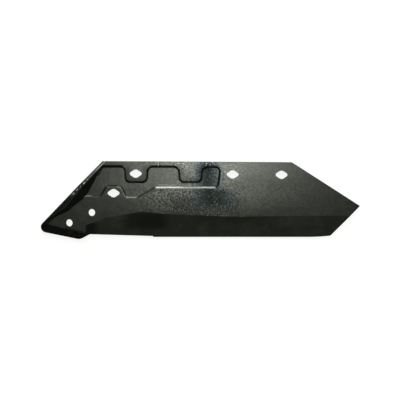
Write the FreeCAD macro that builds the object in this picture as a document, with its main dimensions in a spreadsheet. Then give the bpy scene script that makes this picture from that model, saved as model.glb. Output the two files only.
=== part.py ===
import FreeCAD, Part
import math
import os
import Sketcher

# Forged plough share, lying on its working face with the rear face up.
# X runs from the nose to the heel, Y from the cutting edge to the bolting edge, Z up.
# The origin is under the middle of the share, on the surface that it lies on.

NODE = "plough_share"

# Driving dimensions in millimetres and degrees
SIZES = [
    ("corner_offset", 171.3, "middle of the share to the shin end of the bolting edge, along X"),
    ("top_offset", 68.2, "middle of the share to the shin end of the bolting edge, along Y"),
    ("bolting_edge", 332.1, "length of the bolting edge"),
    ("bolting_fall", 1.9, "fall of the bolting edge towards the heel"),
    ("blade_width", 133.2, "bolting edge to cutting edge"),
    ("shin_angle", 46.0, "lean of the shin edge"),
    ("nose_rise", 11.6, "nose corner above the cutting edge"),
    ("nose_edge", 79.3, "length of the lower edge of the nose"),
    ("nose_edge_angle", 11.5, "slope of the lower edge of the nose"),
    ("nose_radius", 9.8, "corner radius at the tip of the nose"),
    ("chin_radius", 12.5, "corner radius under the nose"),
    ("notch_length", 19.5, "step from the nose up to the cutting edge"),
    ("notch_angle", 28.0, "slope of that step"),
    ("notch_radius", 8.0, "inner radius where the step meets the cutting edge"),
    ("lead_length", 110.8, "raised lead of the cutting edge behind the nose"),
    ("lead_angle", 1.75, "slope of the lead"),
    ("lead_step", 0.9, "run of the small step at the end of the lead"),
    ("far_corner_radius", 8.0, "corner radius between bolting edge and heel edge"),
    ("heel_reach", 119.2, "heel tip beyond the bolting edge"),
    ("heel_drop", 76.7, "heel tip below the end of the bolting edge"),
    ("heel_angle", 46.0, "lean of the heel edge"),
    ("heel_tip_radius", 1.0, "corner radius at the heel tip"),
    ("heel_sweep", 5.5, "upward turn of the cutting edge before the heel"),
    ("heel_sweep_radius", 350.0, "radius of that turn"),
    ("heel_sweep_straight", 4.0, "straight edge between that turn and the heel corner"),
    ("heel_corner_radius", 6.0, "corner radius between cutting edge and heel edge"),
    ("thickness", 10.5, "thickness of the plate"),
    ("front_radius", 700.0, "radius of the hollow working face"),
    ("edge_lip", 2.5, "flat lip of the working face along the cutting edge"),
    ("bevel_start", 29.0, "shin end of the bolting edge back to the start of the bevel, along X"),
    ("bevel_start_width", 21.0, "width of the bevel at its start"),
    ("bevel_start_edge", 7.0, "edge thickness at the start of the bevel"),
    ("bevel_rise", 5.0, "shin end of the bolting edge to the bend in the rise of the bevel"),
    ("bevel_rise_width", 33.4, "width of the bevel at that bend"),
    ("bevel_rise_edge", 5.6, "edge thickness at that bend"),
    ("bevel_shoulder", 69.0, "shin end of the bolting edge to the widest place of the bevel"),
    ("bevel_shoulder_width", 44.8, "widest width of the bevel"),
    ("bevel_fall", 108.0, "shin end of the bolting edge to the place where the bevel evens out"),
    ("bevel_fall_width", 40.6, "width of the bevel at that place"),
    ("bevel_middle", 232.0, "shin end of the bolting edge to the narrow place of the bevel"),
    ("bevel_middle_width", 35.8, "width of the bevel at its narrow place"),
    ("bevel_heel_width", 38.2, "width of the bevel at the heel"),
    ("edge_thickness", 4.0, "thickness of the cutting edge"),
    ("nose_bevel_width", 16.5, "width of the bevel under the nose"),
    ("nose_bevel_depth", 5.2, "depth of the bevel under the nose"),
    ("nose_bevel_length", 91.0, "length of the bevel under the nose"),
    ("rib_start", 4.4, "bolting edge to the start of the shin rib, along the shin"),
    ("rib_start_width", 6.6, "width of the shin rib at its start"),
    ("rib_start_height", 0.4, "height of the shin rib at its start"),
    ("rib_start_crest", 5.4, "shin edge to the crest of the rib, at its start"),
    ("rib_in_relief", 52.0, "bolting edge to the last station of the rib in the relief, along the shin"),
    ("rib_in_relief_width", 19.6, "width of the rib at that station"),
    ("rib_in_relief_height", 4.7, "height of the rib at that station"),
    ("rib_in_relief_crest", 6.4, "shin edge to the crest of the rib, at that station"),
    ("rib_shoulder", 70.0, "bolting edge to the shoulder of the rib, along the shin"),
    ("rib_shoulder_width", 22.4, "width of the rib at its shoulder"),
    ("rib_shoulder_height", 5.5, "height of the rib at its shoulder"),
    ("rib_shoulder_crest", 8.6, "shin edge to the crest of the rib, at its shoulder"),
    ("rib_lower", 104.0, "bolting edge to the lower station of the rib, along the shin"),
    ("rib_lower_width", 18.0, "width of the rib at its lower station"),
    ("rib_lower_height", 4.4, "height of the rib at its lower station"),
    ("rib_lower_crest", 10.4, "shin edge to the crest of the rib, at its lower station"),
    ("rib_end", 142.0, "bolting edge to the end of the rib, along the shin"),
    ("rib_end_width", 4.4, "width of the rib at its end"),
    ("rib_end_height", 0.2, "height of the rib at its end"),
    ("rib_end_crest", 3.4, "shin edge to the crest of the rib, at its end"),
    ("chamfer_slope", 34.0, "slope of the outer side of the shin rib"),
    ("relief_depth", 2.8, "depth of the forged relief"),
    ("relief_draft", 42.0, "draft of the walls of the relief"),
    ("relief_inset", 10.2, "bolting edge to the relief"),
    ("relief_fall", 2.0, "fall of the upper wall of the relief towards the heel"),
    ("relief_end", 205.2, "shin end of the bolting edge to the end wall of the relief"),
    ("relief_end_lean", 4.3, "lean of the end wall of the relief"),
    ("relief_floor_inset", 44.4, "bolting edge to the lower wall of the relief"),
    ("relief_ramp_top", 92.4, "shin end of the bolting edge to the top of the sloping wall"),
    ("relief_ramp_foot", 60.0, "shin end of the bolting edge to the foot of the sloping wall"),
    ("relief_low_inset", 62.3, "bolting edge to the lowest wall of the relief"),
    ("relief_nose_inset", 59.8, "bolting edge to the lower wall of the relief, on the nose side of the pad"),
    ("relief_radius", 9.0, "corner radius of the relief"),
    ("relief_end_radius", 6.0, "corner radius of the relief at its end wall"),
    ("pad_top_width", 28.0, "width of the raised pad round the shin bolt, at its top"),
    ("pad_foot_width", 47.0, "width of the raised pad round the shin bolt, at its foot"),
    ("pad_rise", 13.8, "centre of the shin bolt to the top of its pad"),
    ("pad_shift", 0.2, "middle of the pad towards the heel from the shin bolt"),
    ("pad_radius", 6.0, "corner radius of that pad, on the nose side"),
    ("pad_heel_radius", 12.0, "corner radius of that pad, on the heel side"),
    ("pad_foot_radius", 3.0, "inner radius at the feet of that pad"),
    ("tab_depth", 28.6, "length of the two tabs between the relief and the bolting edge"),
    ("tab_shift", 0.9, "middle of that tab towards the heel from the first bolt hole"),
    ("tab_width", 40.8, "width of the tab with the first bolt hole"),
    ("tab_flare", 1.4, "flare of the tabs towards the bolting edge, each side"),
    ("blank_tab_pitch", 95.0, "distance between the two tabs"),
    ("blank_tab_width", 41.6, "width of the tab with no hole"),
    ("tab_radius", 10.0, "corner radius of the tabs"),
    ("rim_radius", 3.0, "rounding of the rim of the relief"),
    ("bolt_inset", 22.0, "bolting edge to the row of bolt holes"),
    ("bolt_first", 58.7, "shin end of the bolting edge to the first bolt hole"),
    ("bolt_long_pitch", 169.9, "first to second bolt hole"),
    ("bolt_short_pitch", 85.6, "second to third bolt hole"),
    ("bolt_row_fall", 0.45, "fall of the row of bolt holes, in degrees"),
    ("shin_bolt_along", 20.0, "shin end of the bolting edge to the shin bolt, along X"),
    ("shin_bolt_inset", 56.2, "bolting edge to the shin bolt"),
    ("lozenge_width", 14.5, "width of a lozenge hole"),
    ("lozenge_length", 21.0, "length of a lozenge hole"),
    ("lozenge_tip", 3.3, "tip radius of a lozenge hole"),
    ("countersink_land", 3.2, "straight wall of a bolt hole behind its countersink"),
    ("countersink_slope", 30.0, "half angle of the countersinks"),
    ("point_hole", 12.5, "diameter of the two holes for the point"),
    ("point_hole_back", 18.5, "shin end of the bolting edge back to the upper point hole, along X"),
    ("point_hole_inset", 90.1, "bolting edge to the upper point hole"),
    ("point_hole_pitch", 43.5, "distance between the two point holes"),
    ("point_hole_angle", 24.7, "slope of the line through the two point holes"),
    ("edge_break", 0.8, "bevel that breaks the sharp rear edges"),
    ("overcut", 5.0, "reach of every cut beyond the faces that it trims"),
]

doc = FreeCAD.newDocument("PloughShare")
sheet = doc.addObject("Spreadsheet::Sheet", "Sizes")
for row, (alias, number, note) in enumerate(SIZES, 1):
    sheet.set(f"A{row}", note)
    sheet.set(f"B{row}", str(number))
    sheet.setAlias(f"B{row}", alias)
doc.recompute()

body = doc.addObject("PartDesign::Body", NODE)
body.Label = NODE
volumes = {}

# Places and heights worked out from the sizes, as expressions
EDGE_Y = "(Sizes.top_offset - Sizes.blade_width)"
NOSE_DROP = "(Sizes.blade_width - Sizes.nose_rise)"
NOSE_X = f"-Sizes.corner_offset - {NOSE_DROP} / tan(Sizes.shin_angle)"
NOSE_Y = f"Sizes.top_offset - {NOSE_DROP}"
CHIN_X = f"{NOSE_X} + Sizes.nose_edge * cos(Sizes.nose_edge_angle)"
CHIN_Y = f"{NOSE_Y} - Sizes.nose_edge * sin(Sizes.nose_edge_angle)"
NOTCH_X = f"{CHIN_X} + Sizes.notch_length * cos(Sizes.notch_angle)"
NOTCH_Y = f"{CHIN_Y} + Sizes.notch_length * sin(Sizes.notch_angle)"
LEAD_X = f"{NOTCH_X} + Sizes.lead_length"
LEAD_Y = f"{NOTCH_Y} - Sizes.lead_length * tan(Sizes.lead_angle)"
FAR_X = "-Sizes.corner_offset + Sizes.bolting_edge"
FAR_Y = "Sizes.top_offset - Sizes.bolting_fall"
HEEL_X = f"{FAR_X} + Sizes.heel_reach"
HEEL_Y = f"{FAR_Y} - Sizes.heel_drop"

# The cutting edge turns up by an arc and a short straight before the rounded heel corner.
SWEEP_TRIM = "Sizes.heel_sweep_radius * tan(Sizes.heel_sweep / 2)"
HEEL_TRIM = "Sizes.heel_corner_radius * tan((Sizes.heel_angle - Sizes.heel_sweep) / 2)"
SWEEP_RUN = f"({SWEEP_TRIM} + Sizes.heel_sweep_straight + {HEEL_TRIM})"
HEEL_LOW_Y = f"{EDGE_Y} + {SWEEP_RUN} * sin(Sizes.heel_sweep)"
HEEL_LOW_X = f"{HEEL_X} - ({HEEL_Y} - ({HEEL_LOW_Y})) / tan(Sizes.heel_angle)"
SWEEP_X = f"{HEEL_LOW_X} - {SWEEP_RUN} * cos(Sizes.heel_sweep)"

# The working face is an arc over its chord from the lip to the bolting edge.
LIP_Y = f"({EDGE_Y} + Sizes.edge_lip)"
HALF_CHORD = f"((Sizes.top_offset - {LIP_Y}) / 2)"
ARC_Y = f"(Sizes.top_offset - {HALF_CHORD})"
ARC_Z = f"(-sqrt(Sizes.front_radius ^ 2 - {HALF_CHORD} ^ 2))"
REAR_RADIUS = "(Sizes.front_radius + Sizes.thickness)"


def rear_height(y):
    """Height of the rear face at a place across the share."""
    return f"({ARC_Z} + sqrt({REAR_RADIUS} ^ 2 - (({y}) - {ARC_Y}) ^ 2))"


def value(text):
    return float(sheet.evalExpression(text))


def origin_plane(role):
    return next(item for item in body.Origin.OriginFeatures if item.Role == role)


def new_sketch(name, role, base=("0", "0", "0"), axis=None, turn="0"):
    """A sketch on a plane of the body's origin, moved and turned in that plane's own axes."""
    sketch = body.newObject("Sketcher::SketchObject", name)
    sketch.AttachmentSupport = [(origin_plane(role), "")]
    sketch.MapMode = "FlatFace"
    if axis is not None:
        turned = FreeCAD.Rotation(FreeCAD.Vector(*axis), value(turn))
        sketch.AttachmentOffset = FreeCAD.Placement(FreeCAD.Vector(), turned)
        sketch.setExpression("AttachmentOffset.Rotation.Angle", turn)
    for letter, text in zip("xyz", base):
        sketch.setExpression(f"AttachmentOffset.Base.{letter}", text)
    return sketch


def dimension(sketch, kind, geometry, point, text):
    index = sketch.addConstraint(Sketcher.Constraint(kind, -1, 1, geometry, point, value(text)))
    sketch.setExpression(f"Constraints[{index}]", text)


def radius(sketch, geometry, text):
    index = sketch.addConstraint(Sketcher.Constraint("Radius", geometry, value(text)))
    sketch.setExpression(f"Constraints[{index}]", text)


def arc_between(centre, start, end, reach, turning_left):
    first, last = (start, end) if turning_left else (end, start)
    circle = Part.Circle(centre, FreeCAD.Vector(0, 0, 1), reach)
    return Part.ArcOfCircle(circle, circle.parameter(first), circle.parameter(last))


def loop(sketch, corners):
    """A closed outline through corners (x, y, rounding), each an expression, rounding or None."""
    count = len(corners)
    places = [FreeCAD.Vector(value(x), value(y), 0) for x, y, rounding in corners]
    ends = []
    for i, (x, y, rounding) in enumerate(corners):
        back = (places[i - 1] - places[i]).normalize()
        ahead = (places[(i + 1) % count] - places[i]).normalize()
        trim = value(rounding) / math.tan(back.getAngle(ahead) / 2) if rounding else 0
        ends.append((places[i] + back * trim, places[i] + ahead * trim))
    lines = []
    for i in range(count):
        segment = Part.LineSegment(ends[i][1], ends[(i + 1) % count][0])
        lines.append(sketch.addGeometry(segment, False))
    for i, (x, y, rounding) in enumerate(corners):
        if rounding is None:
            sketch.addConstraint(Sketcher.Constraint("Coincident", lines[i - 1], 2, lines[i], 1))
            dimension(sketch, "DistanceX", lines[i], 1, x)
            dimension(sketch, "DistanceY", lines[i], 1, y)
            continue
        into = (places[i] - places[i - 1]).normalize()
        out = (places[(i + 1) % count] - places[i]).normalize()
        turning_left = into.cross(out).z > 0
        side = 1 if turning_left else -1
        inward = FreeCAD.Vector(-into.y * side, into.x * side, 0)
        centre = ends[i][0] + inward * value(rounding)
        bend = arc_between(centre, ends[i][0], ends[i][1], value(rounding), turning_left)
        arc = sketch.addGeometry(bend, False)
        start, end = (1, 2) if turning_left else (2, 1)
        sketch.addConstraint(Sketcher.Constraint("Tangent", lines[i - 1], 2, arc, start))
        sketch.addConstraint(Sketcher.Constraint("Tangent", arc, end, lines[i], 1))
        corner = sketch.addGeometry(Part.Point(places[i]), True)
        sketch.addConstraint(Sketcher.Constraint("PointOnObject", corner, 1, lines[i - 1]))
        sketch.addConstraint(Sketcher.Constraint("PointOnObject", corner, 1, lines[i]))
        dimension(sketch, "DistanceX", corner, 1, x)
        dimension(sketch, "DistanceY", corner, 1, y)
        radius(sketch, arc, rounding)


def finish(feature, before, sign):
    """Recompute a feature and check that it really adds to the share or cuts from it."""
    feature.Refine = False
    doc.recompute()
    if before not in volumes:
        volumes[before] = before.Shape.Volume
    volumes[feature] = feature.Shape.Volume
    if (volumes[feature] - volumes[before]) * sign <= 0:
        raise RuntimeError(f"{feature.Name} leaves the share as it was")


def cut_both_ways(name, sketch):
    """A pocket through the whole share on both sides of its sketch."""
    pocket = body.newObject("PartDesign::Pocket", name)
    pocket.Profile = sketch
    pocket.Type = "ThroughAll"
    pocket.Midplane = True
    return pocket


def loft(kind, name, sketches):
    """A ruled loft through sketches, added to the share or cut from it."""
    feature = body.newObject(f"PartDesign::{kind}Loft", name)
    feature.Profile = sketches[0]
    feature.Sections = sketches[1:]
    feature.Ruled = True
    return feature


# Curved bar
section = new_sketch("BarSection", "YZ_Plane", ("0", "0", f"{NOSE_X} - Sizes.overcut"))
bar_low = f"(min({CHIN_Y}; {EDGE_Y}) - Sizes.overcut)"
bar_high = "(Sizes.top_offset + Sizes.overcut)"
centre = FreeCAD.Vector(value(ARC_Y), value(ARC_Z), 0)
front_reach = value("Sizes.front_radius")
rear_reach = value(REAR_RADIUS)


def on_arc(y, reach):
    return FreeCAD.Vector(y, centre.y + math.sqrt(reach ** 2 - (y - centre.x) ** 2), 0)


rear_low = on_arc(value(bar_low), rear_reach)
rear_high = on_arc(value(bar_high), rear_reach)
front_low = FreeCAD.Vector(value(LIP_Y), 0, 0)
front_high = on_arc(value(bar_high), front_reach)
lip_end = FreeCAD.Vector(value(bar_low), 0, 0)
rear_arc = section.addGeometry(arc_between(centre, rear_high, rear_low, rear_reach, True), False)
front_arc = section.addGeometry(arc_between(centre, front_high, front_low, front_reach, True), False)
low_side = section.addGeometry(Part.LineSegment(rear_low, lip_end), False)
lip = section.addGeometry(Part.LineSegment(lip_end, front_low), False)
high_side = section.addGeometry(Part.LineSegment(front_high, rear_high), False)
for one, one_end, other, other_end in [
    (rear_arc, 2, low_side, 1),
    (low_side, 2, lip, 1),
    (lip, 2, front_arc, 2),
    (front_arc, 1, high_side, 1),
    (high_side, 2, rear_arc, 1),
]:
    section.addConstraint(Sketcher.Constraint("Coincident", one, one_end, other, other_end))
section.addConstraint(Sketcher.Constraint("Coincident", rear_arc, 3, front_arc, 3))
section.addConstraint(Sketcher.Constraint("Vertical", low_side))
section.addConstraint(Sketcher.Constraint("Vertical", high_side))
section.addConstraint(Sketcher.Constraint("Horizontal", lip))
dimension(section, "DistanceX", front_arc, 3, ARC_Y)
dimension(section, "DistanceY", front_arc, 3, ARC_Z)
radius(section, front_arc, "Sizes.front_radius")
radius(section, rear_arc, REAR_RADIUS)
dimension(section, "DistanceX", lip, 1, bar_low)
dimension(section, "DistanceX", lip, 2, LIP_Y)
dimension(section, "DistanceX", high_side, 1, bar_high)

bar = body.newObject("PartDesign::Pad", "Bar")
bar.Profile = section
bar.setExpression("Length", f"({HEEL_X}) - ({NOSE_X}) + 2 * Sizes.overcut")
doc.recompute()

# Forged relief: its floor is parallel to the rear face in the middle of the relief.
RELIEF_MIDDLE = "(Sizes.top_offset - (Sizes.relief_inset + Sizes.relief_low_inset) / 2)"
relief_tilt = f"-asin(({RELIEF_MIDDLE} - {ARC_Y}) / {REAR_RADIUS})"
relief_floor = f"{rear_height(RELIEF_MIDDLE)} - Sizes.relief_depth"
relief = new_sketch("ReliefFloor", "XY_Plane", ("0", RELIEF_MIDDLE, relief_floor), (1, 0, 0), relief_tilt)


def relief_y(inset):
    return f"Sizes.top_offset - ({inset}) - {RELIEF_MIDDLE}"


def relief_top(x):
    """Upper wall of the relief at a place along the share."""
    along = f"(({x}) + Sizes.corner_offset) / Sizes.relief_end"
    return relief_y(f"Sizes.relief_inset + Sizes.relief_fall * {along}")


def tab(middle, width):
    """A tab that hangs from the upper wall into the relief."""
    top = f"({width} / 2 + Sizes.tab_flare)"
    tip = f"({width} / 2)"
    tip_y = relief_y("Sizes.relief_inset + Sizes.tab_depth")
    return [
        (f"{middle} - {top}", relief_top(f"{middle} - {top}"), "Sizes.relief_radius"),
        (f"{middle} - {tip}", tip_y, "Sizes.tab_radius"),
        (f"{middle} + {tip}", tip_y, "Sizes.tab_radius"),
        (f"{middle} + {top}", relief_top(f"{middle} + {top}"), "Sizes.relief_radius"),
    ]


FIRST_BOLT_X = "(-Sizes.corner_offset + Sizes.bolt_first)"
FIRST_TAB_X = f"({FIRST_BOLT_X} + Sizes.tab_shift)"
SHIN_BOLT_X = "(-Sizes.corner_offset + Sizes.shin_bolt_along)"
SHIN_BOLT_Y = "(Sizes.top_offset - Sizes.shin_bolt_inset)"
PAD_X = f"({SHIN_BOLT_X} + Sizes.pad_shift)"
relief_left_top = "-Sizes.corner_offset - Sizes.relief_inset / tan(Sizes.shin_angle) - 2 * Sizes.overcut"
relief_left_low = "-Sizes.corner_offset - Sizes.relief_nose_inset / tan(Sizes.shin_angle) - 2 * Sizes.overcut"
relief_right = "-Sizes.corner_offset + Sizes.relief_end"
pad_top_y = relief_y("Sizes.shin_bolt_inset - Sizes.pad_rise")
low_y = relief_y("Sizes.relief_low_inset")
nose_low_y = relief_y("Sizes.relief_nose_inset")
ramp_top_y = relief_y("Sizes.relief_floor_inset")
loop(relief, [
    (relief_left_top, relief_top(relief_left_top), "Sizes.relief_end_radius"),
    *tab(FIRST_TAB_X, "Sizes.tab_width"),
    *tab(f"({FIRST_TAB_X} + Sizes.blank_tab_pitch)", "Sizes.blank_tab_width"),
    (relief_right, relief_top(relief_right), "Sizes.relief_end_radius"),
    (f"{relief_right} - Sizes.relief_end_lean", ramp_top_y, "Sizes.relief_end_radius"),
    ("-Sizes.corner_offset + Sizes.relief_ramp_top", ramp_top_y, "Sizes.relief_radius"),
    ("-Sizes.corner_offset + Sizes.relief_ramp_foot", low_y, "Sizes.relief_radius"),
    (f"{PAD_X} + Sizes.pad_foot_width / 2", low_y, "Sizes.pad_foot_radius"),
    (f"{PAD_X} + Sizes.pad_top_width / 2", pad_top_y, "Sizes.pad_heel_radius"),
    (f"{PAD_X} - Sizes.pad_top_width / 2", pad_top_y, "Sizes.pad_radius"),
    (f"{PAD_X} - Sizes.pad_foot_width / 2", nose_low_y, "Sizes.pad_foot_radius"),
    (relief_left_low, nose_low_y, "Sizes.relief_end_radius"),
])
relief_cut = body.newObject("PartDesign::Pocket", "Relief")
relief_cut.Profile = relief
relief_cut.Reversed = True
relief_cut.setExpression("Length", "Sizes.relief_depth + Sizes.overcut / 2")
relief_cut.setExpression("TaperAngle", "Sizes.relief_draft")
finish(relief_cut, bar, -1)


def picked_edges(shape, wanted):
    """Names of the edges of which both ends and the middle are wanted."""
    names = []
    for number, edge in enumerate(shape.Edges, 1):
        first, last = edge.ParameterRange
        points = [edge.valueAt(first), edge.valueAt((first + last) / 2), edge.valueAt(last)]
        if wanted(points):
            names.append(f"Edge{number}")
    return names


# Rounded rim of the relief
rim_low = value("Sizes.top_offset - Sizes.relief_low_inset - Sizes.overcut")
rim_high = value("Sizes.top_offset")
rim_right = value(f"{relief_right} + Sizes.overcut")
NEAR = 0.01


def on_rear(point):
    return abs(math.hypot(point.y - centre.x, point.z - centre.y) - rear_reach) < NEAR


def on_rim(points):
    return all(on_rear(p) and rim_low < p.y < rim_high and p.x < rim_right for p in points)


rim = body.newObject("PartDesign::Fillet", "ReliefRim")
rim.Base = (relief_cut, picked_edges(relief_cut.Shape, on_rim))
rim.setExpression("Radius", "Sizes.rim_radius")
finish(rim, relief_cut, -1)

# Bevel of the cutting edge, deepening from a small step behind the nose
BEVEL = [
    ("-Sizes.corner_offset - Sizes.bevel_start", "Sizes.bevel_start_width", "Sizes.bevel_start_edge"),
    ("-Sizes.corner_offset + Sizes.bevel_rise", "Sizes.bevel_rise_width", "Sizes.bevel_rise_edge"),
    ("-Sizes.corner_offset + Sizes.bevel_shoulder", "Sizes.bevel_shoulder_width", "Sizes.edge_thickness"),
    ("-Sizes.corner_offset + Sizes.bevel_fall", "Sizes.bevel_fall_width", "Sizes.edge_thickness"),
    ("-Sizes.corner_offset + Sizes.bevel_middle", "Sizes.bevel_middle_width", "Sizes.edge_thickness"),
    (f"{HEEL_X} + Sizes.overcut", "Sizes.bevel_heel_width", "Sizes.edge_thickness"),
]
bevel_sections = []
for number, (x, width, edge) in enumerate(BEVEL, 1):
    sketch = new_sketch(f"BevelSection{number}", "YZ_Plane", ("0", "0", x))
    top_y = f"{EDGE_Y} + {width}"
    top_z = rear_height(top_y)
    fall = f"({top_z} - {edge}) / {width}"
    clear_y = f"{bar_low} - Sizes.overcut"
    loop(sketch, [
        (top_y, top_z, None),
        (top_y, f"{top_z} + Sizes.overcut", None),
        (clear_y, f"{top_z} + Sizes.overcut", None),
        (clear_y, f"{edge} - {fall} * ({EDGE_Y} - ({clear_y}))", None),
    ])
    bevel_sections.append(sketch)
bevel = loft("Subtractive", "Bevel", bevel_sections)
finish(bevel, rim, -1)

# Bevel under the nose, along its lower edge
nose_turn = "90 - Sizes.nose_edge_angle"
nose_section = new_sketch("NoseSection", "XZ_Plane", (NOSE_X, "0", f"-({NOSE_Y})"), (0, 1, 0), nose_turn)
nose_top = rear_height(f"{NOSE_Y} + Sizes.nose_bevel_width")
nose_fall = "Sizes.nose_bevel_depth / Sizes.nose_bevel_width"
loop(nose_section, [
    ("Sizes.nose_bevel_width", nose_top, None),
    ("Sizes.nose_bevel_width", f"{nose_top} + Sizes.overcut", None),
    ("-Sizes.overcut", f"{nose_top} + Sizes.overcut", None),
    ("-Sizes.overcut", f"{nose_top} - {nose_fall} * (Sizes.nose_bevel_width + Sizes.overcut)", None),
])
nose_bevel = body.newObject("PartDesign::Pocket", "NoseBevel")
nose_bevel.Profile = nose_section
nose_bevel.Reversed = True
nose_bevel.setExpression("Length", "Sizes.nose_bevel_length")
finish(nose_bevel, bevel, -1)


# Shin rib, in sections across the shin edge
def across_shin(name, along):
    """A sketch across the shin edge: its x runs inwards from the edge, its y is the height."""
    back = f"-Sizes.corner_offset - ({along}) * cos(Sizes.shin_angle)"
    down = f"({along}) * sin(Sizes.shin_angle) - Sizes.top_offset"
    return new_sketch(name, "XZ_Plane", (back, "0", down), (0, 1, 0), "Sizes.shin_angle - 90")


def shin_rear_height(along, inwards):
    """Height of the rear face at a place given along the shin edge and inwards from it."""
    down = f"({along}) * sin(Sizes.shin_angle) + ({inwards}) * cos(Sizes.shin_angle)"
    return rear_height(f"Sizes.top_offset - ({down})")


RIB = []
for station, depth in (
    ("start", "Sizes.relief_depth"),
    ("in_relief", "Sizes.relief_depth"),
    ("shoulder", "0"),
    ("lower", "0"),
    ("end", "0"),
):
    place = f"Sizes.rib_{station}"
    RIB.append((place, f"{place}_width", f"{place}_height", f"{place}_crest", depth))
rib_sections = []
for number, (along, width, height, crest, depth) in enumerate(RIB, 1):
    sketch = across_shin(f"RibSection{number}", along)
    crest_z = f"{shin_rear_height(along, crest)} + {height}"
    foot_z = f"{shin_rear_height(along, width)} - {depth}"
    root_z = "Sizes.thickness / 2"
    loop(sketch, [
        ("-Sizes.overcut", crest_z, None),
        (crest, crest_z, None),
        (width, foot_z, None),
        (width, root_z, None),
        ("-Sizes.overcut", root_z, None),
    ])
    rib_sections.append(sketch)
rib = loft("Additive", "ShinRib", rib_sections)
finish(rib, nose_bevel, 1)

# Outline of the share in plan: everything outside it is cut away.
outline = new_sketch("Outline", "XY_Plane")
frame_low_x = f"{NOSE_X} - 4 * Sizes.overcut"
frame_high_x = f"{HEEL_X} + 4 * Sizes.overcut"
frame_low_y = f"{bar_low} - 4 * Sizes.overcut"
frame_high_y = "Sizes.top_offset + 4 * Sizes.overcut"
loop(outline, [
    (frame_low_x, frame_low_y, None),
    (frame_high_x, frame_low_y, None),
    (frame_high_x, frame_high_y, None),
    (frame_low_x, frame_high_y, None),
])
loop(outline, [
    ("-Sizes.corner_offset", "Sizes.top_offset", None),
    (FAR_X, FAR_Y, "Sizes.far_corner_radius"),
    (HEEL_X, HEEL_Y, "Sizes.heel_tip_radius"),
    (HEEL_LOW_X, HEEL_LOW_Y, "Sizes.heel_corner_radius"),
    (SWEEP_X, EDGE_Y, "Sizes.heel_sweep_radius"),
    (f"{LEAD_X} + Sizes.lead_step", EDGE_Y, None),
    (LEAD_X, LEAD_Y, None),
    (NOTCH_X, NOTCH_Y, "Sizes.notch_radius"),
    (CHIN_X, CHIN_Y, "Sizes.chin_radius"),
    (NOSE_X, NOSE_Y, "Sizes.nose_radius"),
])
trimmed = cut_both_ways("Trim", outline)
finish(trimmed, rib, -1)

# Chamfer along the outer side of the shin rib, run on past both ends of the rib
beyond_nose = f"{NOSE_DROP} / sin(Sizes.shin_angle) + 2 * Sizes.overcut"
CHAMFER = [("-2 * Sizes.overcut", *RIB[0][2:4])]
for along, width, height, crest, depth in RIB:
    CHAMFER.append((along, height, crest))
CHAMFER.append((beyond_nose, *RIB[-1][2:4]))
chamfer_sections = []
for number, (along, height, crest) in enumerate(CHAMFER, 1):
    sketch = across_shin(f"ChamferSection{number}", along)
    crest_z = f"{shin_rear_height(along, crest)} + {height}"
    low_z = f"{crest_z} - ({crest} + Sizes.overcut) * tan(Sizes.chamfer_slope)"
    loop(sketch, [
        (crest, crest_z, None),
        (crest, f"{crest_z} + Sizes.overcut", None),
        ("-Sizes.overcut", f"{crest_z} + Sizes.overcut", None),
        ("-Sizes.overcut", low_z, None),
    ])
    chamfer_sections.append(sketch)
chamfer = loft("Subtractive", "ShinChamfer", chamfer_sections)
finish(chamfer, trimmed, -1)


# Broken edge along the bolting edge and the heel
def on_outline(points):
    return all(
        on_rear(p) and outline.Shape.distToShape(Part.Vertex(p.x, p.y, 0))[0] < NEAR
        for p in points
    )


broken = body.newObject("PartDesign::Fillet", "EdgeBreak")
broken.Base = (chamfer, picked_edges(chamfer.Shape, on_outline))
broken.setExpression("Radius", "Sizes.edge_break")
finish(broken, chamfer, -1)

# Lozenge bolt holes, straight at the rear and countersunk from the working face
ROW_COS = "cos(Sizes.bolt_row_fall)"
ROW_SIN = "sin(Sizes.bolt_row_fall)"
FIRST_BOLT_Y = "(Sizes.top_offset - Sizes.bolt_inset)"
ROW_BOLTS = []
for along in ("0", "Sizes.bolt_long_pitch", "(Sizes.bolt_long_pitch + Sizes.bolt_short_pitch)"):
    ROW_BOLTS.append((f"{FIRST_BOLT_X} + {along} * {ROW_COS}", f"{FIRST_BOLT_Y} - {along} * {ROW_SIN}"))

TIP_PLACE = "(Sizes.lozenge_length / 2 - Sizes.lozenge_tip)"
LOZENGE_SLOPE = f"asin((Sizes.lozenge_width / 2 - Sizes.lozenge_tip) / {TIP_PLACE})"
HALF_LONG = f"({TIP_PLACE} + Sizes.lozenge_tip / sin({LOZENGE_SLOPE}))"
HALF_SHORT = f"(Sizes.lozenge_width / 2 / cos({LOZENGE_SLOPE}))"


def lozenge_holes(name, base, centres):
    """Lozenge holes through the share, with tapered seats that open on the working face."""
    seat = f"{rear_height(centres[0][1])} - Sizes.countersink_land"
    sketch = new_sketch(name, "XY_Plane", ("0", "0", seat))
    for x, y in centres:
        loop(sketch, [
            (f"{x} - {HALF_LONG}", y, "Sizes.lozenge_tip"),
            (x, f"{y} - {HALF_SHORT}", "Sizes.lozenge_width / 2"),
            (f"{x} + {HALF_LONG}", y, "Sizes.lozenge_tip"),
            (x, f"{y} + {HALF_SHORT}", "Sizes.lozenge_width / 2"),
        ])
    bore = cut_both_ways(f"{name}Bore", sketch)
    finish(bore, base, -1)
    sink = body.newObject("PartDesign::Pocket", f"{name}Countersink")
    sink.Profile = sketch
    sink.setExpression("Length", f"{seat} + Sizes.overcut")
    sink.setExpression("TaperAngle", "Sizes.countersink_slope")
    finish(sink, bore, -1)
    return sink


row_holes = lozenge_holes("RowBolts", broken, ROW_BOLTS)
shin_hole = lozenge_holes("ShinBolt", row_holes, [(SHIN_BOLT_X, SHIN_BOLT_Y)])

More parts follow.
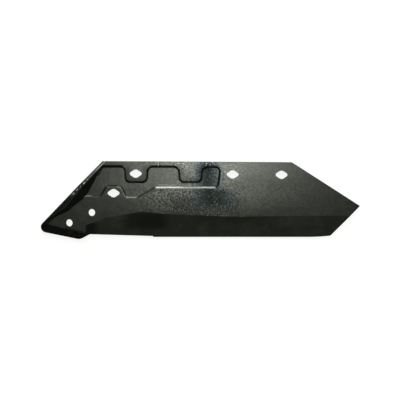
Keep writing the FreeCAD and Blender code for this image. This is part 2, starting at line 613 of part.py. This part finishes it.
# Two straight round holes for the bolts of the point
UPPER_POINT_X = "(-Sizes.corner_offset - Sizes.point_hole_back)"
UPPER_POINT_Y = "(Sizes.top_offset - Sizes.point_hole_inset)"
LOWER_POINT_X = f"({UPPER_POINT_X} - Sizes.point_hole_pitch * cos(Sizes.point_hole_angle))"
LOWER_POINT_Y = f"({UPPER_POINT_Y} - Sizes.point_hole_pitch * sin(Sizes.point_hole_angle))"
point_sketch = new_sketch("PointHoles", "XY_Plane")
for x, y in ((UPPER_POINT_X, UPPER_POINT_Y), (LOWER_POINT_X, LOWER_POINT_Y)):
    place = FreeCAD.Vector(value(x), value(y), 0)
    bore_circle = Part.Circle(place, FreeCAD.Vector(0, 0, 1), value("Sizes.point_hole / 2"))
    circle = point_sketch.addGeometry(bore_circle, False)
    dimension(point_sketch, "DistanceX", circle, 3, x)
    dimension(point_sketch, "DistanceY", circle, 3, y)
    radius(point_sketch, circle, "Sizes.point_hole / 2")
point_bores = cut_both_ways("PointBores", point_sketch)
finish(point_bores, shin_hole, -1)

for item in doc.Objects:
    if "Invalid" in item.State or "Error" in item.State:
        raise RuntimeError(f"{item.Name}: {item.State}")
share = body.Shape
if share.isNull() or not share.isValid() or len(share.Solids) != 1:
    raise RuntimeError(f"{NODE} is not one valid solid")

os.makedirs("parts", exist_ok=True)
share.exportStep(f"parts/{NODE}.step")
print(NODE, round(share.Volume), "mm3")
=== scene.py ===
import math
from typing import NamedTuple

import bpy
from bpy.props import FloatProperty, FloatVectorProperty, PointerProperty
from bpy.types import Operator, Panel, PropertyGroup
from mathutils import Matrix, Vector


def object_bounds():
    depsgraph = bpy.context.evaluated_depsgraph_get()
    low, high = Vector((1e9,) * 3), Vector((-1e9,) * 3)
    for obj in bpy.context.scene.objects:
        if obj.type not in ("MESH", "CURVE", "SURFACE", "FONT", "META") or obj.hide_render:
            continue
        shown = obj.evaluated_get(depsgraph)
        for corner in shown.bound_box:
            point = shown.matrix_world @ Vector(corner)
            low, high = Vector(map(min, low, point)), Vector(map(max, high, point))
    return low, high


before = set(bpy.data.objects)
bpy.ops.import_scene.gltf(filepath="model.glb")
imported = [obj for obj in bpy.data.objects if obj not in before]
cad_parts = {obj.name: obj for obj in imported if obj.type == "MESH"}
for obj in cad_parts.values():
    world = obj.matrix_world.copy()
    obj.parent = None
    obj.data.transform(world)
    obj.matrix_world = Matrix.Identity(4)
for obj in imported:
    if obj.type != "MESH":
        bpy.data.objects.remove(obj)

bl_info = {
    "name": "Plough Share",
    "version": (1, 0, 0),
    "blender": (4, 5, 0),
    "location": "3D View > Sidebar > Share",
    "description": "Paint and studio for a forged plough share",
    "category": "Object",
}

# Box of the share, in metres, in its own frame
LOW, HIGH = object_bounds()
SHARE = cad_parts["plough_share"]


class Patch(NamedTuple):
    """A patch of the rear face: its ends along and across the share, and half the width
    of its soft borders, in metres. In the room, slopes take the place of metres."""

    left: float
    right: float
    low: float
    high: float
    soft_along: float
    soft_across: float


RELIEF = Patch(-0.180, -0.042, 0.020, 0.059, 0.004, 0.003)
# Where highlight lines are painted: the relief's lower edge, the shin's edge, and the pad's edge
# and side; and a faint bright line along the relief's foot
RELIEF_EDGE = Patch(-0.0775, 0.0265, 0.0195, 0.0234, 0.0025, 0.0004)
RELIEF_FOOT = Patch(-0.074, -0.040, 0.0254, 0.0270, 0.004, 0.0004)
SHIN_EDGE = Patch(-0.210, -0.190, 0.0060, 0.0100, 0.004, 0.0005)
PAD_EDGE = Patch(-0.131, -0.110, 0.0036, 0.0076, 0.004, 0.0005)
PAD_SIDE = Patch(-0.140, -0.123, 0.0050, 0.0265, 0.001, 0.001)
PAD_TOP = Patch(-0.158, -0.146, 0.0228, 0.0268, 0.003, 0.0008)
# Start of the bevel, where painted shade takes off the film
BEVEL_START = Patch(-0.132, -0.058, -0.050, -0.022, 0.012, 0.006)
BEVEL_HEEL = Patch(0.146, 0.196, -0.046, -0.024, 0.018, 0.006)
BEVEL_RUST = Patch(0.128, 0.142, -0.036, -0.026, 0.006, 0.004)

# Ends along the share of the stretches of the relief's top wall, and of the two tabs, where
# shade is painted
TOP_WALL = ((-0.178, -0.134), (-0.090, -0.041), (0.003, 0.031))
TABS = ((-0.1385, -0.0845), (-0.0450, 0.0100))
TAB_BORDER = 0.0165

# Slopes of the shin's edge and of its rib's inner border, in metres along the share for
# each metre across it, and of the nose's lower edge, in metres across for each metre along
SHIN_LEAN = 0.976
RIB_LEAN = 0.566
NOSE_LEAN = 0.27

# Strips: their two sides, and half the width of their soft borders, in metres. Those on the
# shin are measured along the share, from a line through the origin that leans as the shin.
COARSE_STRIP = (-0.096, 0.064, 0.030)
# Strips of painted shade on the land above the relief's top wall and at that wall's foot
LAND_STRIP = (0.0590, 0.0618, 0.0008)
WALL_STRIP = (0.0562, 0.0592, 0.0005)
# Strips of painted glints on the shin and of a painted highlight along its crest
SHIN_GLINTS = (-0.2333, -0.2298, 0.0010)
SHIN_CREST = (-0.2343, -0.2312, 0.0008)

# Upward part of the normal, between the bevels and the faces that lie level
LEVEL = (0.984, 0.992)

# The rear face is highest along one line, and falls off from there with the square of the
# distance. Without that fall, the land lies above these heights and the relief below.
CROWN = 0.003
FALL = 0.704
LAND = (0.0118, 0.0128)

# How much of each colour the film, the earth and the rust give at most
FILM = 0.18
FILM_PATCHES = 0.12
EARTH = 0.18
RUST = 0.16

# Widths of the waves and the pits of the skin, and of the earth in its pits, in grains
WAVES = 12
PITS = 0.95
CLODS = 0.8

# Widths of the patches of the finish, in metres. The runs of paint are long across the share.
PATCH_WIDTH = 0.030
STAIN_WIDTH = 0.012
# The specks and the shin's glints are painted highlights
SPECK_WIDTH = 0.0030
GLINT_WIDTH = 0.0060
RUN_WIDTH = 0.004
RUN_STRETCH = (1.0, 0.22, 1.0)

UNDERCOAT_SPECULAR = 0.06
COAT_IOR = 1.6

FLOOR_WIDTH = 24
FLOOR_GLOW = 0.88
WHITE = (1, 1, 1, 1)
SENSOR_WIDTH = 36.0

# Height of the rear face, as a part of the height over the shin rib
REAR_FACE = 0.65

# Brightness of the darkest part of the room, and the least height at which its slopes
# are measured
ROOM = 0.04
HORIZON = 0.05

# Radius of the large window, and azimuth, elevation and radius of the small one, and how
# soft their edges are
LARGE_WINDOW = math.radians(32)
SMALL_WINDOW = (math.radians(122), math.radians(20), math.radians(7))
WINDOW_EDGE = 0.04

# Places of the camera and its arm in the ceiling, as slopes from straight up
CAMERA = Patch(-0.004, 0.036, -0.052, 0.040, 0.016, 0.018)
ARM = Patch(-0.038, 0.048, -0.085, 0.008, 0.012, 0.022)


class PaintSettings(PropertyGroup):
    """Black gloss paint over the forged skin."""

    paint: FloatVectorProperty(
        name="Paint",
        description="Colour of the black paint",
        subtype="COLOR",
        size=3,
        default=(0.0055, 0.0064, 0.0056),
    )
    dust: FloatVectorProperty(
        name="Dust",
        description="Colour of the dry grey film on the paint",
        subtype="COLOR",
        size=3,
        default=(0.106, 0.112, 0.098),
    )
    earth: FloatVectorProperty(
        name="Earth",
        description="Colour of the earth in the pits of the skin",
        subtype="COLOR",
        size=3,
        default=(0.22, 0.17, 0.13),
    )
    # Colour of the painted highlights: glints and bright lines along the edges
    highlight_paint: FloatVectorProperty(
        name="Bare steel",
        description="Colour of the specks where the paint is thin",
        subtype="COLOR",
        size=3,
        default=(0.78, 0.79, 0.79),
    )
    rust: FloatVectorProperty(
        name="Rust",
        description="Colour of the faint rust stains",
        subtype="COLOR",
        size=3,
        default=(0.085, 0.042, 0.030),
    )
    gloss: FloatProperty(
        name="Gloss",
        description="Roughness of the glossy skin of the paint",
        subtype="FACTOR",
        min=0.0,
        max=1.0,
        default=0.03,
    )
    under: FloatProperty(
        name="Under the gloss",
        description="Roughness of the paint below its skin",
        subtype="FACTOR",
        min=0.0,
        max=1.0,
        default=0.05,
    )
    grain: FloatProperty(
        name="Grain",
        description="Width of one grain of the forged skin",
        subtype="DISTANCE",
        unit="LENGTH",
        default=0.0030,
    )
    relief: FloatProperty(
        name="Grain height",
        description="Height of the grains of the forged skin",
        subtype="DISTANCE",
        unit="LENGTH",
        default=0.000025,
    )


class StudioSettings(PropertyGroup):
    """Floor, lights and camera."""

    floor: FloatVectorProperty(
        name="Floor",
        description="Colour of the floor",
        subtype="COLOR",
        size=3,
        default=(0.22, 0.22, 0.22),
    )
    photo_width: FloatProperty(
        name="Picture width",
        description="Width that the picture shows at the rear face",
        subtype="DISTANCE",
        unit="LENGTH",
        default=0.700,
    )
    camera_height: FloatProperty(
        name="Camera height",
        description="Camera above the rear face",
        subtype="DISTANCE",
        unit="LENGTH",
        default=1.45,
    )
    light: FloatVectorProperty(
        name="Light",
        description="Colour of the light",
        subtype="COLOR",
        size=3,
        default=(0.95, 1.0, 0.88),
    )
    shade: FloatVectorProperty(
        name="Shade",
        description="Colour of the light off the camera and its stand",
        subtype="COLOR",
        size=3,
        default=(0.35, 0.75, 1.0),
    )
    ceiling: FloatProperty(
        name="Ceiling",
        description="Brightness of the lit ceiling, towards the window",
        default=3.15,
    )
    window: FloatProperty(
        name="Window",
        description="Brightness of the windows",
        default=2.2,
    )
    window_azimuth: FloatProperty(
        name="Window azimuth",
        description="Place of the large window round the share, from the heel",
        subtype="ANGLE",
        unit="ROTATION",
        default=math.radians(68),
    )
    window_elevation: FloatProperty(
        name="Window elevation",
        description="Place of the large window above the floor",
        subtype="ANGLE",
        unit="ROTATION",
        default=math.radians(34),
    )
    walls: FloatProperty(
        name="Walls",
        description="Brightness of the walls round the horizon",
        default=0.60,
    )


class Socket:
    """An output of a node that can be used in arithmetic."""

    def __init__(self, graph, link):
        self.graph = graph
        self.link = link

    def math(self, operation, *others, **settings):
        settings = {"operation": operation, **settings}
        return self.graph.node("ShaderNodeMath", settings, [self, *others])

    def __add__(self, other):
        return self.math("ADD", other)

    def __sub__(self, other):
        return self.math("SUBTRACT", other)

    def __rsub__(self, other):
        return self.graph.node("ShaderNodeMath", {"operation": "SUBTRACT"}, [other, self])

    def __mul__(self, other):
        return self.math("MULTIPLY", other)

    def __truediv__(self, other):
        return self.math("DIVIDE", other)

    def __pow__(self, other):
        return self.math("POWER", other)

    __radd__ = __add__
    __rmul__ = __mul__

    def clamp(self):
        return self.math("ADD", 0.0, use_clamp=True)

    def ramp(self, low, high):
        """0 below low, 1 above high, smooth between; falls instead where low is above high."""
        if low > high:
            return 1 - self.ramp(high, low)
        settings = {"interpolation_type": "SMOOTHSTEP"}
        values = {"Value": self, "From Min": low, "From Max": high}
        return self.graph.node("ShaderNodeMapRange", settings, values)


class Graph:
    """Builds the nodes of one material or world."""

    def __init__(self, owner):
        owner.use_nodes = True
        self.tree = owner.node_tree
        self.tree.nodes.clear()

    def fill(self, place, given):
        """Give an input of a node a link or a value."""
        if isinstance(given, Socket):
            self.tree.links.new(given.link, place)
        else:
            place.default_value = given

    def node(self, kind, settings=None, values=None, output=0):
        """A node with its settings, then the values or links of its inputs."""
        made = self.tree.nodes.new(kind)
        for name, setting in (settings or {}).items():
            setattr(made, name, setting)
        pairs = values.items() if isinstance(values, dict) else enumerate(values or [])
        for key, given in pairs:
            self.fill(made.inputs[key], given)
        return Socket(self, made.outputs[output]) if made.outputs else None

    def split(self, vector):
        """The three numbers of a vector."""
        first = self.node("ShaderNodeSeparateXYZ", None, [vector])
        return [Socket(self, output) for output in first.link.node.outputs]

    def colours(self, factor, first, second):
        """First colour where the factor is 0, second where it is 1."""
        made = self.tree.nodes.new("ShaderNodeMix")
        made.data_type = "RGBA"
        inputs = {item.identifier: item for item in made.inputs}
        self.fill(inputs["Factor_Float"], factor)
        self.fill(inputs["A_Color"], first)
        self.fill(inputs["B_Color"], second)
        outputs = {item.identifier: item for item in made.outputs}
        return Socket(self, outputs["Result_Color"])

    def noise(self, place, width, detail, roughness):
        """Even noise whose patches are about as wide as width, in metres."""
        values = {
            "Vector": place,
            "Scale": 1.0 / width,
            "Detail": detail,
            "Roughness": roughness,
        }
        return self.node("ShaderNodeTexNoise", None, values)


def rgba(colour):
    return (*colour, 1.0)


def band(value, low, high, soft):
    """1 between low and high, 0 outside, with a soft border."""
    return value.ramp(low - soft, low + soft) * value.ramp(high + soft, high - soft)


def bell(value, middle, width):
    """1 in the middle, falling on both sides."""
    return (0 - ((value - middle) / width) ** 2.0).math("EXPONENT")


def within(x, y, patch):
    """1 inside a patch, 0 outside."""
    along = band(x, patch.left, patch.right, patch.soft_along)
    return along * band(y, patch.low, patch.high, patch.soft_across)


class Surface:
    """Places, slopes and regions of the share, for its paint."""

    def __init__(self, graph):
        self.graph = graph
        self.place = graph.node("ShaderNodeTexCoord", output="Object")
        self.x, self.y, self.z = graph.split(self.place)
        normal = graph.node("ShaderNodeTexCoord", output="Normal")
        self.side, self.leaning, self.facing = graph.split(normal)
        self.level = self.facing.ramp(*LEVEL)
        self.bevel = 1 - self.level
        self.relief = self.within(RELIEF)
        self.from_shin = self.x - SHIN_LEAN * self.y
        from_crown = self.y - CROWN
        self.land = (self.z + FALL * from_crown * from_crown).ramp(*LAND)

        # The forged skin is coarse in the middle of the share, and smooth in the relief,
        # at the nose and on the bevel.
        self.middle = band(self.x, *COARSE_STRIP) * (1 - 0.85 * self.relief)
        self.coarse = (0.35 + 0.65 * self.middle) * self.level

    def within(self, patch):
        return within(self.x, self.y, patch)

    def noise(self, width, detail, roughness):
        return self.graph.noise(self.place, width, detail, roughness)


class SHARE_OT_paint(Operator):
    """Paint the forging"""

    bl_idname = "share.paint"
    bl_label = "Paint the share"

    def skin(self, share, look):
        """Height of the forged skin, as a part of the height of its grains."""
        grain = share.noise(look.grain, 3.0, 0.6)
        dots = share.noise(look.grain, 1.0, 0.5).ramp(0.60, 0.70)
        waves = share.noise(look.grain * WAVES, 1.0, 0.5)
        return (0.5 * grain - 2.5 * dots) * share.coarse + waves * 0.4

    def tab(self, share, left, right):
        """1 along the border of a tab of the land that reaches into the relief."""
        x, y = share.x, share.y
        outside = band(x, left, right, 0.001) * y.ramp(0.029, 0.031) * y.ramp(0.063, 0.055)
        inside = band(x, left + TAB_BORDER, right - TAB_BORDER, 0.006) * y.ramp(0.033, 0.045)
        return outside * (1 - inside)

    def paint_shade(self, share):
        """Painted shade: darker paint along the rims and walls of the relief, round the tabs,
        inside the top of the shin rib and under the nose. The lower part of the shin's outer
        chamfer is darker too.
        """
        x, y = share.x, share.y

        # Painted shade on the land above the relief and round the tabs, and on the relief's top
        # wall
        above = sum(band(x, left, right, 0.003) for left, right in TOP_WALL)
        tabs = sum(self.tab(share, left, right) for left, right in TABS)
        painted_shade_mask = share.land * (0.6 * band(y, *LAND_STRIP) * above + 0.55 * tabs)
        painted_shade_mask = painted_shade_mask + 0.9 * (1 - share.land) * band(y, *WALL_STRIP)

        # Painted shade inside the top of the shin rib and under the nose; darker on the shin's
        # outer chamfer
        inner = share.from_shin.ramp(-0.2302, -0.2288)
        inner = inner * (x - RIB_LEAN * y).ramp(-0.2005, -0.2021)
        chamfer = share.from_shin.ramp(-0.2225, -0.2265) * y.ramp(0.014, -0.002)
        under = (y + NOSE_LEAN * x).ramp(-0.1097, -0.1112) * band(x, -0.236, -0.199, 0.003)
        painted_shade_mask = painted_shade_mask + 0.85 * inner * band(y, 0.0425, 0.0590, 0.0015)
        return (painted_shade_mask + 0.9 * chamfer + 0.7 * under).clamp()

    def film_and_shade(self, share):
        """Dry grey film on the faces that lie nearly level. On the bevel there is more of it at
        the heel and less at the nose, and painted shade takes it off the bevel's start and off a
        strip below the bevel's top edge.
        """
        x, y = share.x, share.y
        nose = x.ramp(-0.172, -0.190) * y.ramp(-0.034, -0.042)
        shaded = band(x, 0.000, 0.096, 0.012) * y.ramp(-0.050, -0.034)
        # Painted shade at the bevel's start and in the shaded strip; less film at the nose
        less = 0.7 * share.within(BEVEL_START) + 0.8 * nose + 0.4 * shaded
        more = 0.45 * share.within(BEVEL_HEEL)
        patches = share.noise(PATCH_WIDTH, 3.0, 0.6).ramp(0.42, 0.72)
        amount = (1 + share.bevel * (more - less)) * (FILM + FILM_PATCHES * patches)
        return share.facing.ramp(0.945, 0.975) * amount

    def rust(self, share):
        """Faint rust at the nose and low on the bevel."""
        stain = share.noise(STAIN_WIDTH, 3.0, 0.7).ramp(0.45, 0.62)
        nose = band(share.x, -0.236, -0.206, 0.008) * share.y.ramp(-0.048, -0.058)
        return stain * (nose + share.within(BEVEL_RUST)).clamp()

    def paint_highlights(self, share):
        """Painted highlights in a near-white colour: glints on specks of the skin, most of them
        along the top of the share above the relief, glints on the shin, a highlight along the
        shin's crest, and highlight lines along the edges of the relief, the shin and the pad;
        also a faint bright line along the relief's foot.
        """
        x, y = share.x, share.y
        top_edge = y.ramp(0.050, 0.066) * band(x, -0.09, 0.03, 0.02)
        specks = share.noise(SPECK_WIDTH, 1.0, 0.5).ramp(0.64, 0.72)
        specks = specks * (0.24 + 0.76 * top_edge) * share.middle * share.level

        shin_glint_strip = band(share.from_shin, *SHIN_GLINTS) * band(y, 0.011, 0.036, 0.004)
        shin_glints = 0.7 * share.noise(GLINT_WIDTH, 2.0, 0.6).ramp(0.50, 0.58) * shin_glint_strip
        crest = band(share.from_shin, *SHIN_CREST) * y.ramp(0.034, 0.040)
        crest = crest * (0.08 + 0.26 * y.ramp(0.048, 0.058))

        # Painted highlight lines on the edges that face the window and on the pad's side; a
        # faint bright line along the relief's foot
        long_edge = share.within(RELIEF_EDGE) * (0.55 + 0.45 * x.ramp(-0.025, -0.040))
        short_edges = 0.17 * share.within(SHIN_EDGE) + 0.25 * share.within(PAD_EDGE)
        edge_highlights = share.leaning.ramp(0.15, 0.40) * (long_edge + short_edges)
        foot = 0.20 * share.within(RELIEF_FOOT)
        pad_side = 0.36 * band(share.side, 0.07, 0.22, 0.04) * share.within(PAD_SIDE)

        edges = (edge_highlights + foot).math("MAXIMUM", pad_side + crest)
        return specks.math("MAXIMUM", shin_glints).math("MAXIMUM", edges)

    def coat(self, share, look):
        """Weight of the glossy coat: less in the pits, more where it ran in the relief."""
        pits = share.noise(look.grain * PITS, 2.0, 0.6).ramp(0.45, 0.56)
        pits = pits * (1 - 0.35 * share.y.ramp(0.015, 0.030))
        settings = {"operation": "MULTIPLY"}
        streaked = share.graph.node("ShaderNodeVectorMath", settings, [share.place, RUN_STRETCH])
        left_end = share.relief * band(share.x, -0.172, -0.125, 0.010)
        heel = share.level * band(share.x, 0.150, 0.240, 0.020)
        runs = share.graph.noise(streaked, RUN_WIDTH, 2.0, 0.5).ramp(0.40, 0.62)
        runs = runs * (left_end + 0.5 * heel)
        grained = 0.55 + 0.45 * share.coarse - 0.9 * pits * share.coarse
        return grained + 0.08 * share.relief + 0.20 * runs

    def execute(self, context):
        look = context.scene.share_paint
        material = bpy.data.materials.new("black_gloss_paint")
        graph = Graph(material)
        share = Surface(graph)

        # Painted shade along the relief's rims and walls, round the tabs, inside the shin rib
        # and under the nose; it darkens the film and thins the coat
        painted_shade_mask = self.paint_shade(share)
        film_and_shade = self.film_and_shade(share) * (1 - painted_shade_mask)
        earth = share.coarse * share.noise(look.grain * CLODS, 2.0, 0.6).ramp(0.50, 0.70)
        rust = self.rust(share)
        # Dust colour where the film lies, darker where shade is painted
        dusty_and_shaded = graph.colours(film_and_shade, rgba(look.paint), rgba(look.dust))
        earthy = graph.colours(EARTH * earth, dusty_and_shaded, rgba(look.earth))
        stained = graph.colours(RUST * rust, earthy, rgba(look.rust))
        # Painted highlights: glints on the skin and the shin, and bright lines along the crest
        # and the edges
        colour = graph.colours(self.paint_highlights(share), stained, rgba(look.highlight_paint))

        # The paint is dull at the top of the pad.
        worn = 0.5 * share.within(PAD_TOP)
        coat = self.coat(share, look) * (1 - worn) * (1 - painted_shade_mask)
        rough = look.under + 0.3 * rust + 0.4 * worn

        heights = {"Strength": 1.0, "Distance": look.relief, "Height": self.skin(share, look)}
        bump = graph.node("ShaderNodeBump", None, heights)
        values = {
            "Base Color": colour,
            "Roughness": rough,
            "Specular IOR Level": UNDERCOAT_SPECULAR,
            "Normal": bump,
            "Coat Weight": coat,
            "Coat Roughness": look.gloss,
            "Coat IOR": COAT_IOR,
        }
        shader = graph.node("ShaderNodeBsdfPrincipled", None, values)
        graph.node("ShaderNodeOutputMaterial", None, [shader])
        SHARE.data.materials.clear()
        SHARE.data.materials.append(material)
        return {"FINISHED"}


class SHARE_OT_studio(Operator):
    """Floor, lights and camera"""

    bl_idname = "share.studio"
    bl_label = "Set up the studio"

    def floor(self, look):
        """A pale floor under the share, which is lit and also glows a little to the camera."""
        bpy.ops.object.select_all(action="DESELECT")
        bpy.ops.mesh.primitive_plane_add(size=FLOOR_WIDTH, location=(0, 0, LOW.z))
        plane = bpy.context.object
        plane.name = "floor"
        bpy.ops.object.transform_apply(location=True)
        material = bpy.data.materials.new("pale_floor")
        graph = Graph(material)
        seen = graph.node("ShaderNodeLightPath", output="Is Camera Ray")
        paper = graph.node("ShaderNodeBsdfDiffuse", None, {"Color": rgba(look.floor)})
        glow = graph.node("ShaderNodeEmission", None, {"Color": WHITE, "Strength": FLOOR_GLOW})
        both = graph.node("ShaderNodeAddShader", None, [paper, glow])
        mixed = graph.node("ShaderNodeMixShader", None, [seen, paper, both])
        graph.node("ShaderNodeOutputMaterial", None, [mixed])
        plane.data.materials.append(material)

    def ceiling(self, look, along, across):
        """Brightness of the ceiling, and how much the camera and its stand darken it.

        The ceiling is brightest over the share and towards the window beyond its bolting
        edge. Its places are slopes along and across the share, from straight up.
        """
        rise = across.ramp(-0.125, 0.055) + 0.86 * across.ramp(0.06, 0.22)
        glow = look.ceiling * bell(along, 0.012, 0.097) * rise * across.ramp(1.2, 0.7)
        dim = 0.24 * across.ramp(-0.30, -0.12) * band(along, -0.172, 0.175, 0.020)

        stand = 0.98 * bell(along, 0.0095, 0.0125) * band(across, -0.035, 0.230, 0.020)
        dark = stand.math("MAXIMUM", 0.92 * within(along, across, CAMERA))
        arm = 0.48 * within(along, across, ARM)
        return (glow + dim) * (1 - dark.math("MAXIMUM", arm)), dark

    def disc(self, graph, place, azimuth, elevation, size):
        """1 in a soft disc of the sky, whose size is its radius."""
        flat = math.cos(elevation)
        centre = (flat * math.cos(azimuth), flat * math.sin(azimuth), math.sin(elevation))
        settings = {"operation": "DOT_PRODUCT"}
        facing = graph.node("ShaderNodeVectorMath", settings, [place, centre], "Value")
        edge = math.cos(size)
        return facing.ramp(edge - WINDOW_EDGE, edge + WINDOW_EDGE)

    def world(self, look):
        """A lit ceiling, two windows and dim walls; plain white to the camera."""
        world = bpy.data.worlds.new("studio")
        bpy.context.scene.world = world
        graph = Graph(world)
        place = graph.node("ShaderNodeTexCoord", output="Generated")
        x, y, up = graph.split(place)
        height = up.math("MAXIMUM", HORIZON)
        ceiling, dark = self.ceiling(look, x / height, y / height)

        # A large window beyond the bolting edge and the heel, and a small one beyond the shin
        azimuth, elevation = look.window_azimuth, look.window_elevation
        large = self.disc(graph, place, azimuth, elevation, LARGE_WINDOW)
        small = self.disc(graph, place, *SMALL_WINDOW)
        windows = look.window * (large + 1.2 * small)
        walls = look.walls * up.ramp(0.45, 0.15)
        strength = ROOM + ceiling + windows + walls
        tone = graph.colours(dark, rgba(look.light), rgba(look.shade))
        light = graph.node("ShaderNodeBackground", None, {"Color": tone, "Strength": strength})
        white = graph.node("ShaderNodeBackground", None, {"Color": WHITE, "Strength": 1.0})
        seen = graph.node("ShaderNodeLightPath", output="Is Camera Ray")
        mixed = graph.node("ShaderNodeMixShader", None, [seen, light, white])
        graph.node("ShaderNodeOutputWorld", None, [mixed])

    def camera(self, look):
        """Straight above the share, its picture as wide as the photograph at the rear face."""
        bpy.ops.object.select_all(action="DESELECT")
        height = HIGH.z * REAR_FACE + look.camera_height
        bpy.ops.object.camera_add(location=(0, 0, height), rotation=(0, 0, 0))
        camera = bpy.context.object
        camera.name = "camera"
        camera.data.sensor_width = SENSOR_WIDTH
        camera.data.lens = SENSOR_WIDTH * look.camera_height / look.photo_width
        bpy.context.scene.camera = camera

    def execute(self, context):
        look = context.scene.share_studio
        self.floor(look)
        self.world(look)
        self.camera(look)
        context.scene.view_settings.view_transform = "Standard"
        return {"FINISHED"}


class SHARE_PT_panel(Panel):
    """The steps of the share, in order"""

    bl_idname = "SHARE_PT_panel"
    bl_label = "Plough Share"
    bl_space_type = "VIEW_3D"
    bl_region_type = "UI"
    bl_category = "Share"

    def draw(self, context):
        for operator in (SHARE_OT_paint, SHARE_OT_studio):
            self.layout.operator(operator.bl_idname)
        for settings in (context.scene.share_paint, context.scene.share_studio):
            for name in settings.__annotations__:
                self.layout.prop(settings, name)


CLASSES = (PaintSettings, StudioSettings, SHARE_OT_paint, SHARE_OT_studio, SHARE_PT_panel)


def register():
    for item in CLASSES:
        bpy.utils.register_class(item)
    bpy.types.Scene.share_paint = PointerProperty(type=PaintSettings)
    bpy.types.Scene.share_studio = PointerProperty(type=StudioSettings)


def unregister():
    del bpy.types.Scene.share_studio
    del bpy.types.Scene.share_paint
    for item in reversed(CLASSES):
        bpy.utils.unregister_class(item)


def main():
    register()
    bpy.ops.share.paint()
    bpy.ops.share.studio()


if __name__ == "__main__":
    main()
